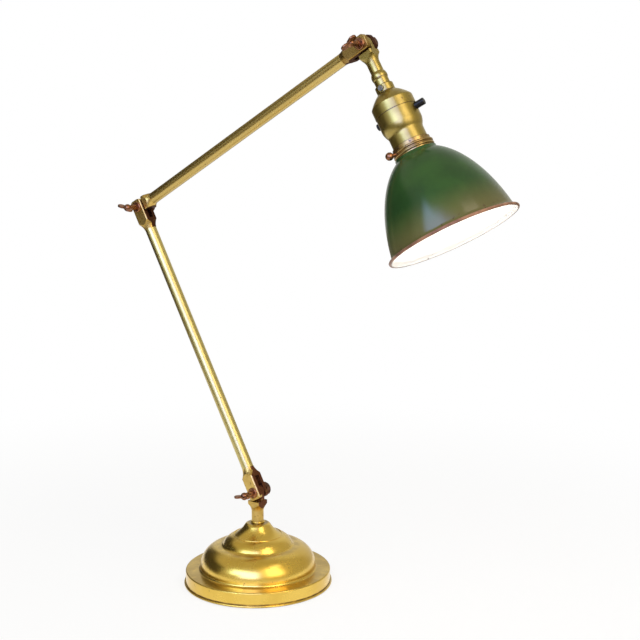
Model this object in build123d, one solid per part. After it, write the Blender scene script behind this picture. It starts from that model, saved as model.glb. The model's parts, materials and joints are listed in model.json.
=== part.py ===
from build123d import *
import os
from math import acos, atan2, cos, degrees, radians, sin, sqrt

# Architect lamp with two arms on a weighted round base. Millimetres, +Z up.
# The origin is the middle of the base where it stands on the table.
# The arms swing in the XZ plane about axes along Y; thumbscrews are on the -Y side.

# Pose: leans are from the vertical towards +X, the head's is from straight down
lower_lean = -28.2
upper_lean = 60.3
head_lean = 29.8

# Base
base_pivot_height = 100.0
rim_radius = 77.2
shelf_height = 16.2
shelf_corner_round = 1.2
dome_root_radius = 61.2
dome_root_round = 2.5
dome_bulge = 8.4
groove_radius = 37.8
groove_height = 41.8
groove_round = 4.0
torus_bulge = 2.1
ridge_radius = 25.6
ridge_height = 53.0
ridge_bead_radius = 0.8
flare_hollow = 1.6
crown_radius = 12.6
crown_height = 66.2
crown_round = 5.0
base_wall = 1.2
foot_height = 0.8
foot_bead_radius = 1.2
foot_bead_offset = 0.6
pad_thickness = 2.4
pad_gap = 0.1
weight_gap = 0.4
weight_hole_gap = 0.4
nut_recess_radius = 13.5
nut_recess_depth = 6.6
cord_slot_width = 10.0
base_washer_radius = 11.0
base_washer_thickness = 1.0
locknut_across_flats = 17.0
locknut_thickness = 4.0
nipple_radius = 4.8
nipple_bore_radius = 3.2
nipple_grip = 11.0
nipple_tail = 0.5
thread_clearance = 0.05
base_collar_radius = 7.3
base_collar_height = 1.8
cord_bore_radius = 3.0
cord_bushing_wall = 0.4
cord_flange_gap = 0.15
cord_flange_thickness = 1.0

# Arms
lower_arm_length = 335.0
upper_arm_length = 335.0
tube_radius = 6.25
tube_wall = 1.0
spigot_length = 14.0
spigot_clearance = 0.05
wire_bore_radius = 2.4

# Knuckles
ear_half_width = 7.6
ear_end = 7.8
ear_corner_round = 4.5
knuckle_thickness = 16.0
tongue_thickness = 4.8
tongue_trim = 0.2
joint_washer_thickness = 0.6
joint_washer_radius = 6.2
knuckle_corner_trim = 0.85
knuckle_edge_round = 0.5
fork_length = 27.0
fork_flare = 9.0
fork_slot_depth = 16.0
tang_length = 20.5
tang_flare = 7.5
tang_shoulder_gap = 0.4
tang_relief = 0.25
flare_bow = 0.7

# Thumbscrews and cap nuts
pin_radius = 2.8
pin_clearance = 0.06
screw_flange_radius = 5.7
screw_flange_thickness = 1.6
screw_stem_radius = 2.9
screw_hub_radius = 4.0
screw_hub_height = 14.2
wing_lobe_radius = 4.3
wing_spread = 5.3
wing_rise = 3.6
wing_thickness = 2.4
nut_across_flats = 13.6
nut_height = 6.2
nut_dome_height = 4.6
nut_dome_inset = 0.65
nut_bore_gap = 0.5
base_wing_turn = -6.0
elbow_wing_turn = 18.0
head_wing_turn = 137.0

# Head: lengths run from the head pivot along the socket axis
neck_radius = 6.4
bead_length = 8.0
bead_radius = 7.9
neck_collar_radius = 7.2
neck_collar_length = 5.8
neck_spigot_radius = 4.9
neck_spigot_length = 7.0
cap_collar_radius = 9.0
cap_collar_length = 7.2
cap_radius = 20.7
cap_dome_length = 11.6
cap_dome_bulge = 0.7
cap_dome_round = 2.2
cap_skirt_length = 9.6
cap_switch_gap = 4.3
cap_wall = 1.0
set_screw_turn = 275.0
set_screw_distance = 3.2
set_screw_head_radius = 2.8
set_screw_head_height = 1.7
set_screw_radius = 1.5
set_screw_slot_width = 0.7
set_screw_slot_depth = 0.7
set_screw_slot_turn = 35.0
spot_face_depth = 0.9
spot_face_gap = 0.7
shell_radius = 20.3
shell_wall = 0.8
shell_skirt_length = 5.5
shell_skirt_gap = 0.1
shell_barrel_length = 12.8
shell_shoulder_length = 8.7
shell_shoulder_bulge = 0.6
shell_neck_radius = 17.3
shell_neck_round = 6.0
shell_end = 116.5
liner_thickness = 0.6
liner_gap = 0.05
liner_margin = 1.0
socket_body_lead = 9.5
socket_body_length = 18.0
socket_body_gap = 0.3
socket_hub_radius = 12.8
socket_hub_length = 7.0
screw_shell_radius = 13.9
screw_shell_wall = 0.6
screw_shell_length = 21.0
screw_shell_hole_radius = 5.2
contact_radius = 3.6
contact_height = 2.4
terminal_spread = 9.5
terminal_head_radius = 2.7
terminal_head_height = 2.0
terminal_shank_radius = 1.5
terminal_shank_length = 6.0
switch_turn = 10.0
switch_distance = 77.5
switch_radius = 3.4
switch_clearance = 0.3
switch_knob_length = 9.1
switch_tail_length = 2.6
switch_rib_count = 5
switch_rib_depth = 0.3
switch_rib_pitch = 1.5

# Shade, its clamp band and the bulb
band_start = 106.8
band_gap = 0.05
band_wall = 1.5
band_bead_radius = 1.3
band_bead_rise = 1.5
band_bead_pitch = 3.2
band_bead_shift = 0.9
band_length = 10.3
band_spigot_wall = 0.9
band_lip_thickness = 0.8
band_lip_width = 1.4
clamp_screw_turn = 238.0
clamp_screw_radius = 1.8
clamp_head_radius = 3.9
clamp_stem_length = 5.8
shade_fit = 0.1
shade_wall = 0.9
shade_mouth_radius = 61.65
shade_mouth = 200.5
shade_curve_radius = 63.9
shade_curve_centre = 231.8
shade_rim_bead_radius = 1.4
shade_lip_width = 2.8
shade_lip_length = 2.1
bulb_tip_radius = 2.6
bulb_tip_height = 1.4
bulb_insulator_radius = 4.8
bulb_insulator_base_radius = 10.2
bulb_insulator_length = 3.0
bulb_thread_gap = 0.3
bulb_thread_length = 16.5
bulb_neck_radius = 12.7
bulb_radius = 23.5
bulb_centre_distance = 38.0
bulb_glass_wall = 0.8

pivot_radius = pin_radius + pin_clearance
slot_width = tongue_thickness + 2 * joint_washer_thickness
half_knuckle = knuckle_thickness / 2
knuckle_blank_radius = sqrt(ear_half_width ** 2 + half_knuckle ** 2) - knuckle_corner_trim
ear_corner_reach = sqrt((ear_half_width - ear_corner_round) ** 2 + (ear_end - ear_corner_round) ** 2)
tang_shoulder = ear_corner_reach + ear_corner_round + tang_shoulder_gap
tongue_half_width = ear_half_width - tongue_trim
rim_band_low = foot_height + 2 * foot_bead_radius
rim_band_high = shelf_height - base_wall
cord_inlet_height = (rim_band_low + rim_band_high) / 2
crown_top = crown_height + base_collar_height
spigot_radius = tube_radius - tube_wall - spigot_clearance
cap_end = switch_distance - cap_switch_gap
cap_dome_start = cap_end - cap_skirt_length - cap_dome_length
cap_start = cap_dome_start - cap_collar_length
neck_end = cap_start
bead_start = neck_end - neck_collar_length - bead_length
shell_shoulder_start = cap_end + shell_barrel_length
socket_body_start = switch_distance - socket_body_lead
socket_body_end = socket_body_start + socket_body_length
switch_out = shell_radius + switch_knob_length
switch_back = shell_radius + switch_tail_length
band_inner_radius = shell_neck_radius + band_gap
band_end = band_start + band_length
shade_hole_edge = band_inner_radius + band_spigot_wall + shade_fit
shade_neck_radius = shade_hole_edge + band_lip_width + shade_wall
socket_hub_end = socket_body_end + socket_hub_length
bulb_tip_start = socket_hub_end + contact_height


# Small geometry helpers
def disc(radius, start, end):
    return Pos(0, 0, start) * Cylinder(radius, end - start, align=(Align.CENTER, Align.CENTER, Align.MIN))


def ring(outer, inner, start, end):
    return disc(outer, start, end) - disc(inner, start - 1, end + 1)


def bow(start, end, rise):
    # Arc from start to end whose middle stands off the chord, to its left when rise is positive
    run = end[0] - start[0]
    climb = end[1] - start[1]
    length = sqrt(run * run + climb * climb)
    middle = (
        (start[0] + end[0]) / 2 - climb / length * rise,
        (start[1] + end[1]) / 2 + run / length * rise,
    )
    return ThreePointArc(start, middle, end)


def outline(*points):
    return Polyline(*points)


def rounded(face, corner, radius):
    # The face with one corner of its outline rounded off
    return fillet(face.vertices().sort_by_distance(corner)[0], radius)


def turned(curve):
    # Solid of revolution about Z from a closed curve of (radius, height)
    return revolve(Plane.XZ * make_face(curve), Axis.Z)


def turned_face(face):
    return revolve(Plane.XZ * face, Axis.Z)


def across(radius, start, end):
    # Round bar along Y
    return Rot(-90, 0, 0) * disc(radius, start, end)


def along_x(radius, start, end):
    return Rot(0, 90, 0) * disc(radius, start, end)


# Base pieces
def base_section():
    crown = (crown_radius, crown_height)
    ridge = (ridge_radius, ridge_height)
    groove = (groove_radius, groove_height)
    root = (dome_root_radius, shelf_height)
    corner = (rim_radius, shelf_height)
    floor = -2 * base_wall
    curve = outline((0, floor), (0, crown_height), crown)
    curve += bow(crown, ridge, -flare_hollow)
    curve += bow(ridge, groove, torus_bulge)
    curve += bow(groove, root, dome_bulge)
    curve += outline(root, corner, (rim_radius, floor), (0, floor))
    face = make_face(curve)
    face = rounded(face, crown, crown_round)
    face = rounded(face, groove, groove_round)
    face = rounded(face, root, dome_root_round)
    return rounded(face, corner, shelf_corner_round)


def base_shell():
    solid = base_section()
    band = solid - offset(solid, -base_wall)
    width = 2 * rim_radius
    window = Pos(nipple_radius + thread_clearance, foot_height + foot_bead_radius)
    band = band & (window * Rectangle(width, width, align=(Align.MIN, Align.MIN)))
    bead = Pos(rim_radius + foot_bead_offset, foot_height + foot_bead_radius) * Circle(foot_bead_radius)
    ridge_bead = Pos(ridge_radius, ridge_height) * Circle(ridge_bead_radius)
    shell = turned_face(band) + turned_face(bead) + turned_face(ridge_bead)
    barrel = cord_bore_radius + cord_bushing_wall + thread_clearance
    return shell - Pos(0, 0, cord_inlet_height) * along_x(barrel, -2 * rim_radius, -rim_radius / 2)


def base_pad():
    bead_inside = rim_radius + foot_bead_offset - foot_bead_radius
    radius = min(bead_inside, rim_radius - base_wall) - pad_gap
    return disc(radius, 0, pad_thickness)


def base_weight():
    radius = rim_radius - base_wall - weight_gap
    top = shelf_height - base_wall
    weight = disc(radius, pad_thickness, top)
    weight -= disc(nipple_radius + weight_hole_gap, 0, 2 * top)
    weight -= disc(nut_recess_radius, 0, pad_thickness + nut_recess_depth)
    slot = Box(2 * radius, cord_slot_width, 4 * top, align=(Align.MAX, Align.CENTER, Align.CENTER))
    weight -= Pos(-nut_recess_radius, 0, 0) * slot
    round_top = weight.edges().filter_by(GeomType.CIRCLE).group_by(Axis.Z)[-1]
    outer = [edge for edge in round_top if edge.radius > radius / 2]
    return chamfer(outer, shelf_corner_round + weight_gap)


def base_washer():
    top = pad_thickness + nut_recess_depth
    hole = nipple_radius + thread_clearance
    return ring(base_washer_radius, hole, top - base_washer_thickness, top)


def hexagon_prism(across_flats, start, end):
    side = RegularPolygon(across_flats / 2, 6, major_radius=False)
    return Pos(0, 0, start) * extrude(side, end - start)


def base_locknut():
    top = pad_thickness + nut_recess_depth - base_washer_thickness
    nut = hexagon_prism(locknut_across_flats, top - locknut_thickness, top)
    return nut - disc(nipple_radius + thread_clearance, 0, 2 * top)


def nipple():
    top = pad_thickness + nut_recess_depth - base_washer_thickness
    start = top - locknut_thickness - nipple_tail
    return ring(nipple_radius, nipple_bore_radius, start, crown_top + nipple_grip)


def base_collar():
    hole = nipple_radius + thread_clearance
    collar = ring(base_collar_radius, hole, crown_height, crown_top)
    edges = collar.edges().filter_by(GeomType.CIRCLE)
    outer = [edge for edge in edges if edge.radius > hole + base_collar_height / 4]
    return fillet(outer, base_collar_height * 0.4)


def cord_bushing():
    barrel = cord_bore_radius + cord_bushing_wall
    room = min(rim_band_high - rim_band_low, cord_slot_width)
    flange = room / 2 - cord_flange_gap
    outside = rim_radius + cord_flange_thickness
    inside = rim_radius - base_wall - cord_flange_thickness
    inner_wall = rim_radius - base_wall
    sleeve = along_x(barrel, -outside, -inside)
    lip = along_x(flange, -outside, -inner_wall) - disc(rim_radius, -shelf_height, shelf_height)
    back = along_x(flange, -rim_radius, -inside) & disc(inner_wall, -shelf_height, shelf_height)
    bore = along_x(cord_bore_radius, -2 * rim_radius, 0)
    return Pos(0, 0, cord_inlet_height) * (sleeve + lip + back - bore)


# Knuckle pieces, pivot at the origin
def knuckle_block(thickness, start, end, corner_round):
    # Flat-sided bar between two heights; the corners of its upper end can be rounded
    face = Pos(0, (start + end) / 2) * Rectangle(2 * ear_half_width, end - start)
    if corner_round:
        face = fillet(face.vertices().group_by(Axis.Y)[-1], corner_round)
    block = extrude(Plane.XZ * face, thickness / 2, both=True)
    sides = block.faces().filter_by(Axis.Y)
    edges = [edge for side in sides for edge in side.edges()]
    return fillet(edges, knuckle_edge_round)


def knuckle_blank(start, flare_start, end):
    # Turned bar that narrows to the tube's size over the flare
    curve = outline((0, end), (0, start), (knuckle_blank_radius, start), (knuckle_blank_radius, flare_start))
    slope = flare_bow if end > start else -flare_bow
    curve += bow((knuckle_blank_radius, flare_start), (neck_radius, end), slope)
    curve += outline((neck_radius, end), (0, end))
    return turned(curve)


def fork():
    # Two ears that point up, on a block that narrows to the tube below
    reach = 2 * ear_end
    block = knuckle_block(knuckle_thickness, -2 * fork_length, ear_end, ear_corner_round)
    body = block & knuckle_blank(reach, -(fork_length - fork_flare), -fork_length)
    slot_height = fork_slot_depth + reach
    slot = Box(4 * ear_half_width, slot_width, slot_height, align=(Align.CENTER, Align.CENTER, Align.MIN))
    body -= Pos(0, 0, -fork_slot_depth) * slot
    body -= across(pivot_radius, -knuckle_thickness, knuckle_thickness)
    body += disc(spigot_radius, -fork_length - spigot_length, -fork_length)
    return body - disc(wire_bore_radius, -fork_length - 2 * spigot_length, -fork_slot_depth)


def tang():
    # Thin tongue about the pivot, then a full-width block above its shoulder
    block = knuckle_block(knuckle_thickness - 2 * tang_relief, tang_shoulder, 2 * tang_length, 0)
    block &= knuckle_blank(tang_shoulder, tang_length - tang_flare, tang_length)
    plate = Pos(0, tang_shoulder) * Rectangle(2 * tongue_half_width, 2 * tang_shoulder)
    plate = plate - Pos(0, 2 * tang_shoulder) * Rectangle(4 * ear_half_width, 2 * tang_shoulder - tongue_thickness)
    tongue = extrude(Plane.XZ * (plate + Circle(tongue_half_width)), tongue_thickness / 2, both=True)
    return block + tongue - across(pivot_radius, -knuckle_thickness, knuckle_thickness)


def joint_washers():
    near = across(joint_washer_radius, tongue_thickness / 2, slot_width / 2)
    far = across(joint_washer_radius, -slot_width / 2, -tongue_thickness / 2)
    hole = across(pivot_radius, -knuckle_thickness, knuckle_thickness)
    return Compound(children=[near - hole, far - hole])


def thumbscrew(wing_turn):
    # Shank through the knuckle, flange on the near ear, then stem, hub and two wings
    flange_end = half_knuckle + screw_flange_thickness
    hub = half_knuckle + screw_hub_height
    tail = half_knuckle + nut_height
    body = disc(pin_radius, -tail, flange_end)
    flange = disc(screw_flange_radius, half_knuckle, flange_end)
    body += chamfer(flange.edges().group_by(Axis.Z)[-1], screw_flange_thickness * 0.4)
    body += disc(screw_stem_radius, half_knuckle, hub)
    body += Pos(0, 0, hub) * Sphere(screw_hub_radius)
    lobe_height = hub + wing_rise
    wing = Pos(wing_spread, lobe_height) * Circle(wing_lobe_radius)
    wing += Pos(-wing_spread, lobe_height) * Circle(wing_lobe_radius)
    web = 2 * wing_lobe_radius * 0.7
    wing += Pos(0, lobe_height - wing_lobe_radius + web / 2) * Rectangle(2 * wing_spread, web)
    plate = extrude(Plane.XZ * wing, wing_thickness / 2, both=True)
    body += fillet(plate.edges().filter_by(Plane.XZ), wing_thickness * 0.3)
    return Rot(0, wing_turn, 0) * Rot(90, 0, 0) * body


def cap_nut():
    # Hexagon with a domed end on the far ear
    dome_base = half_knuckle + nut_height
    dome_radius = nut_across_flats / 2 - nut_dome_inset
    nut = hexagon_prism(nut_across_flats, half_knuckle, dome_base)
    trim = Pos(0, 0, half_knuckle) * Cone(
        nut_across_flats * 0.75, nut_across_flats / 2, nut_height,
        align=(Align.CENTER, Align.CENTER, Align.MIN))
    nut &= trim
    sphere = (dome_radius ** 2 + nut_dome_height ** 2) / (2 * nut_dome_height)
    half_turn = atan2(dome_radius, sphere - nut_dome_height) / 2
    top = dome_base + nut_dome_height
    through = (sphere * sin(half_turn), top - sphere + sphere * cos(half_turn))
    dome = outline((0, top), (0, dome_base), (dome_radius, dome_base))
    dome += ThreePointArc((dome_radius, dome_base), through, (0, top))
    nut += turned(dome)
    nut -= disc(pin_radius + thread_clearance, 0, dome_base + nut_bore_gap)
    return Rot(-90, 0, 0) * nut


# Arm pieces, along Z from the lower pivot
def arm_tube(start, end):
    return ring(tube_radius, tube_radius - tube_wall, start, end)


def arm_tang():
    body = tang()
    return body + disc(spigot_radius, tang_length, tang_length + spigot_length)


def post():
    # Upright tang; its neck stands on the base collar
    depth = base_pivot_height - crown_top
    body = tang() + disc(neck_radius, tang_length, depth)
    body -= disc(nipple_radius + thread_clearance, depth - nipple_grip, depth + 1)
    return Pos(0, 0, base_pivot_height) * Rot(0, 180, 0) * body


# Head pieces, along Z from the head pivot towards the shade's mouth
def radial(turn, distance):
    # Puts a piece built along +Z at an angle about the socket axis, pointing outwards
    return Pos(0, 0, distance) * Rot(0, 0, 180 - turn) * Rot(0, 90, 0)


def head_neck():
    body = tang() + disc(neck_radius, tang_length, bead_start)
    end = bead_start + bead_length
    bead = outline((0, end), (0, bead_start), (neck_radius, bead_start))
    rise = bead_radius - (neck_radius + neck_collar_radius) / 2
    bead += bow((neck_radius, bead_start), (neck_collar_radius, end), -rise)
    bead += outline((neck_collar_radius, end), (0, end))
    body += turned(bead)
    body += disc(neck_collar_radius, end, neck_end)
    return body + disc(neck_spigot_radius, neck_end, neck_end + neck_spigot_length)


def socket_cap():
    dome_end = cap_dome_start + cap_dome_length
    hole = neck_spigot_radius + thread_clearance
    outer = outline((hole, cap_start), (cap_collar_radius, cap_start), (cap_collar_radius, cap_dome_start))
    outer += bow((cap_collar_radius, cap_dome_start), (cap_radius, dome_end), -cap_dome_bulge)
    outer += outline((cap_radius, dome_end), (cap_radius, cap_end), (hole, cap_end), (hole, cap_start))
    face = rounded(make_face(outer), (cap_collar_radius, cap_start), cap_wall * 0.8)
    face = rounded(face, (cap_radius, dome_end), cap_dome_round)
    roof = cap_dome_start + cap_wall * 1.6
    inside = cap_radius - cap_wall
    start = (cap_collar_radius - cap_wall, roof)
    inner = outline((0, cap_end + 1), (0, roof), start)
    inner += bow(start, (inside, dome_end), -cap_dome_bulge)
    inner += outline((inside, dome_end), (inside, cap_end + 1), (0, cap_end + 1))
    body = turned_face(face) - turned(inner)
    level = cap_start + set_screw_distance
    floor = cap_collar_radius - spot_face_depth
    cut = disc(set_screw_head_radius + spot_face_gap, floor, 2 * cap_collar_radius)
    cut += disc(set_screw_radius + thread_clearance, 0, floor + 1)
    return body - radial(set_screw_turn, level) * cut


def set_screw():
    floor = cap_collar_radius - spot_face_depth
    top = floor + set_screw_head_height
    screw = disc(set_screw_radius, neck_spigot_radius + thread_clearance, floor)
    head = disc(set_screw_head_radius, floor, top)
    head = chamfer(head.edges().group_by(Axis.Z)[-1], set_screw_head_height * 0.2)
    groove = Box(4 * set_screw_head_radius, set_screw_slot_width, 2 * set_screw_slot_depth)
    screw = screw + head - Pos(0, 0, top) * Rot(0, 0, set_screw_slot_turn) * groove
    return radial(set_screw_turn, cap_start + set_screw_distance) * screw


def switch_tunnel(gap):
    reach = 3 * shell_radius
    return radial(switch_turn, switch_distance) * disc(switch_radius + gap, -reach, reach)


def socket_shell():
    skirt = cap_radius - cap_wall - shell_skirt_gap
    top = cap_end - shell_skirt_length
    shoulder_end = shell_shoulder_start + shell_shoulder_length
    low = shell_end
    outer = outline((0, top), (skirt, top), (skirt, cap_end), (shell_radius, cap_end))
    outer += outline((shell_radius, cap_end), (shell_radius, shell_shoulder_start))
    outer += bow((shell_radius, shell_shoulder_start), (shell_neck_radius, shoulder_end), -shell_shoulder_bulge)
    outer += outline((shell_neck_radius, shoulder_end), (shell_neck_radius, low), (0, low), (0, top))
    outside = rounded(make_face(outer), (shell_neck_radius, shoulder_end), shell_neck_round)
    step = cap_end + shell_wall
    inside = shell_radius - shell_wall
    neck_inside = shell_neck_radius - shell_wall
    hole = skirt - shell_wall
    inner = outline((0, top - 1), (hole, top - 1), (hole, step), (inside, step))
    inner += outline((inside, step), (inside, shell_shoulder_start))
    inner += bow((inside, shell_shoulder_start), (neck_inside, shoulder_end), -shell_shoulder_bulge)
    inner += outline((neck_inside, shoulder_end), (neck_inside, low + 1), (0, low + 1), (0, top - 1))
    return turned_face(outside) - turned(inner) - switch_tunnel(switch_clearance)


def socket_liner():
    outside = shell_radius - shell_wall - liner_gap
    start = cap_end + shell_wall + liner_margin
    end = shell_shoulder_start - liner_margin
    sleeve = ring(outside, outside - liner_thickness, start, end)
    return sleeve - switch_tunnel(switch_clearance)


def socket_body():
    liner_inside = shell_radius - shell_wall - liner_gap - liner_thickness
    skirt_inside = cap_radius - cap_wall - shell_skirt_gap - shell_wall
    radius = min(liner_inside, skirt_inside) - socket_body_gap
    body = disc(radius, socket_body_start, socket_body_end)
    body += disc(socket_hub_radius, socket_body_end, socket_hub_end)
    body -= switch_tunnel(switch_clearance)
    hole = disc(terminal_shank_radius + thread_clearance, socket_body_start - 1,
                socket_body_start + terminal_shank_length + 1)
    for side in (-1, 1):
        body -= Pos(0, side * terminal_spread, 0) * hole
    return body


def terminal_screws():
    screws = []
    for side in (-1, 1):
        screw = disc(terminal_head_radius, socket_body_start - terminal_head_height, socket_body_start)
        screw += disc(terminal_shank_radius, socket_body_start - 0.5, socket_body_start + terminal_shank_length)
        screws.append(Pos(0, side * terminal_spread, 0) * screw)
    return Compound(children=screws)


def screw_shell():
    end = socket_hub_end + screw_shell_length
    cup = disc(screw_shell_radius, socket_hub_end, end)
    cup -= disc(screw_shell_radius - screw_shell_wall, socket_hub_end + screw_shell_wall, end + 1)
    return cup - disc(screw_shell_hole_radius, socket_hub_end - 1, end)


def centre_contact():
    plate = disc(contact_radius, socket_hub_end, socket_hub_end + contact_height)
    return chamfer(plate.edges().group_by(Axis.Z)[-1], contact_height * 0.3)


def switch_bar():
    # Push-through bar with a ribbed knob on each end
    bar = disc(switch_radius, -switch_back, switch_out)
    bar = fillet(bar.edges().filter_by(GeomType.CIRCLE), switch_radius * 0.2)
    for count in range(switch_rib_count):
        place = switch_out - (count + 1) * switch_rib_pitch
        bar -= ring(2 * switch_radius, switch_radius - switch_rib_depth, place, place + switch_rib_pitch / 2)
    return radial(switch_turn, switch_distance) * bar


def shade_clamp():
    outside = band_inner_radius + band_wall
    spigot = band_inner_radius + band_spigot_wall
    lip_start = band_end + shade_wall
    body = ring(outside, band_inner_radius, band_start, band_end)
    body += ring(spigot, band_inner_radius, band_end, lip_start)
    body += ring(spigot + band_lip_width, band_inner_radius, lip_start, lip_start + band_lip_thickness)
    middle = band_start + band_length / 2
    for side in (-1, 1):
        centre = outside + band_bead_rise - band_bead_radius
        place = middle + band_bead_shift + side * band_bead_pitch / 2
        bead = Pos(centre, place) * Circle(band_bead_radius)
        keep = Pos(band_inner_radius, 0) * Rectangle(
            4 * band_bead_radius, 4 * shade_mouth, align=(Align.MIN, Align.CENTER))
        body += turned_face(bead & keep)
    hole = disc(clamp_screw_radius + thread_clearance, 0, 3 * shell_neck_radius)
    return body - radial(clamp_screw_turn, middle) * hole


def clamp_screw():
    start = shell_neck_radius + band_gap
    stem_end = band_inner_radius + band_wall + band_bead_rise + clamp_stem_length
    screw = disc(clamp_screw_radius, start, stem_end)
    screw += Pos(0, 0, stem_end) * Sphere(clamp_head_radius)
    return radial(clamp_screw_turn, band_start + band_length / 2) * screw


def shade_depth(inset):
    # Half axis of the bowl's ellipse along the socket axis, from the mouth's radius and place
    reach = shade_curve_centre - shade_mouth
    return reach / sqrt(1 - (shade_mouth_radius / shade_curve_radius) ** 2) - inset


def shade_radius(inset, distance):
    drop = (shade_curve_centre - distance) / shade_depth(inset)
    return (shade_curve_radius - inset) * sqrt(1 - drop ** 2)


def shade_bowl(inset, start, end):
    # Solid bowl between two distances: a straight neck, then the ellipse
    wide = shade_curve_radius - inset
    deep = shade_depth(inset)
    neck = shade_neck_radius - inset
    neck_end = shade_curve_centre - deep * sqrt(1 - (neck / wide) ** 2)
    mouth = shade_radius(inset, end)
    first = atan2((neck_end - shade_curve_centre) / deep, neck / wide)
    last = atan2((end - shade_curve_centre) / deep, mouth / wide)
    curve = outline((0, start), (neck, start), (neck, neck_end))
    curve += EllipticalCenterArc(
        (0, shade_curve_centre), wide, deep, start_angle=degrees(first), arc_size=degrees(last - first))
    curve += outline((mouth, end), (0, end), (0, start))
    return turned(curve)


def shade():
    body = shade_bowl(0, band_end, shade_mouth)
    roof = band_end + shade_wall
    body -= shade_bowl(shade_wall, roof, shade_mouth + shade_wall)
    body -= disc(shade_hole_edge, band_end - shade_wall, roof + shade_wall)
    bead = (shade_mouth_radius + shade_lip_width, shade_mouth + shade_lip_length)
    upper = (bead[0], bead[1] - shade_wall / 2)
    lower = (bead[0], bead[1] + shade_wall / 2)
    outer = (shade_mouth_radius, shade_mouth)
    inner = (shade_radius(shade_wall, shade_mouth), shade_mouth)
    body += turned(outline(inner, outer, upper, lower, inner))
    return body + turned_face(Pos(*bead) * Circle(shade_rim_bead_radius))


def bulb_tip():
    end = bulb_tip_start + bulb_tip_height
    cone = Pos(0, 0, end) * Cone(
        bulb_insulator_radius, bulb_insulator_base_radius, bulb_insulator_length,
        align=(Align.CENTER, Align.CENTER, Align.MIN))
    return disc(bulb_tip_radius, bulb_tip_start, end) + cone


def bulb_thread_start():
    return bulb_tip_start + bulb_tip_height + bulb_insulator_length


def bulb_base():
    start = bulb_thread_start()
    radius = screw_shell_radius - screw_shell_wall - bulb_thread_gap
    cup = disc(radius, start, start + bulb_thread_length)
    return cup - disc(radius - bulb_glass_wall, start + bulb_glass_wall, start + 2 * bulb_thread_length)


def bulb_outline(start, neck, radius, centre):
    # Straight neck that runs tangent into a round bulb
    drop = centre - start
    far = sqrt(neck * neck + drop * drop)
    turn = atan2(-drop, neck) + acos(radius / far)
    touch = (radius * cos(turn), centre + radius * sin(turn))
    middle = (turn + radians(90)) / 2
    through = (radius * cos(middle), centre + radius * sin(middle))
    curve = outline((0, start), (neck, start), touch)
    curve += ThreePointArc(touch, through, (0, centre + radius))
    return curve + outline((0, centre + radius), (0, start))


def bulb_glass():
    start = bulb_thread_start() + bulb_thread_length
    centre = start + bulb_centre_distance
    outer = turned(bulb_outline(start, bulb_neck_radius, bulb_radius, centre))
    inner = turned(bulb_outline(
        start + bulb_glass_wall, bulb_neck_radius - bulb_glass_wall, bulb_radius - bulb_glass_wall, centre))
    return outer - inner


# Places of the moving groups in the pose
def along(point, lean, length):
    angle = radians(lean)
    return (point[0] + length * sin(angle), 0, point[2] + length * cos(angle))


base_pivot = (0, 0, base_pivot_height)
elbow_pivot = along(base_pivot, lower_lean, lower_arm_length)
head_pivot = along(elbow_pivot, upper_lean, upper_arm_length)
lower_place = Pos(*base_pivot) * Rot(0, lower_lean, 0)
upper_place = Pos(*elbow_pivot) * Rot(0, upper_lean, 0)
head_place = Pos(*head_pivot) * Rot(0, 180 - head_lean, 0)
lower_end = Pos(0, 0, lower_arm_length)
upper_end = Pos(0, 0, upper_arm_length)

pieces = {
    "base_shell": base_shell(),
    "base_weight": base_weight(),
    "base_pad": base_pad(),
    "base_washer": base_washer(),
    "base_locknut": base_locknut(),
    "base_nipple": nipple(),
    "base_collar": base_collar(),
    "cord_bushing": cord_bushing(),
    "post": post(),
    "lower_arm_foot_fork": lower_place * Rot(0, 180, 0) * fork(),
    "lower_arm_tube": lower_place * arm_tube(fork_length, lower_arm_length - fork_length),
    "lower_arm_top_fork": lower_place * lower_end * fork(),
    "base_joint_washers": lower_place * joint_washers(),
    "base_thumbscrew": Pos(*base_pivot) * thumbscrew(base_wing_turn),
    "base_cap_nut": lower_place * cap_nut(),
    "elbow_joint_washers": lower_place * lower_end * joint_washers(),
    "elbow_thumbscrew": Pos(*elbow_pivot) * thumbscrew(elbow_wing_turn),
    "elbow_cap_nut": lower_place * lower_end * cap_nut(),
    "upper_arm_tang": upper_place * arm_tang(),
    "upper_arm_tube": upper_place * arm_tube(tang_length, upper_arm_length - fork_length),
    "upper_arm_fork": upper_place * upper_end * fork(),
    "head_joint_washers": upper_place * upper_end * joint_washers(),
    "head_thumbscrew": Pos(*head_pivot) * thumbscrew(head_wing_turn),
    "head_cap_nut": upper_place * upper_end * cap_nut(),
    "head_neck": head_place * head_neck(),
    "socket_cap": head_place * socket_cap(),
    "socket_set_screw": head_place * set_screw(),
    "socket_shell": head_place * socket_shell(),
    "socket_liner": head_place * socket_liner(),
    "socket_body": head_place * socket_body(),
    "socket_terminals": head_place * terminal_screws(),
    "socket_screw_shell": head_place * screw_shell(),
    "socket_contact": head_place * centre_contact(),
    "switch_bar": head_place * switch_bar(),
    "shade_clamp": head_place * shade_clamp(),
    "shade_clamp_screw": head_place * clamp_screw(),
    "shade": head_place * shade(),
    "bulb_tip": head_place * bulb_tip(),
    "bulb_base": head_place * bulb_base(),
    "bulb_glass": head_place * bulb_glass(),
}

os.makedirs("parts", exist_ok=True)
for name, shape in pieces.items():
    export_step(shape, f"parts/{name}.step")
print("base pivot", base_pivot, "elbow pivot", elbow_pivot, "head pivot", head_pivot)
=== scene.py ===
import json
import math

import bmesh
import bpy
from mathutils import Matrix, Vector

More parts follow.
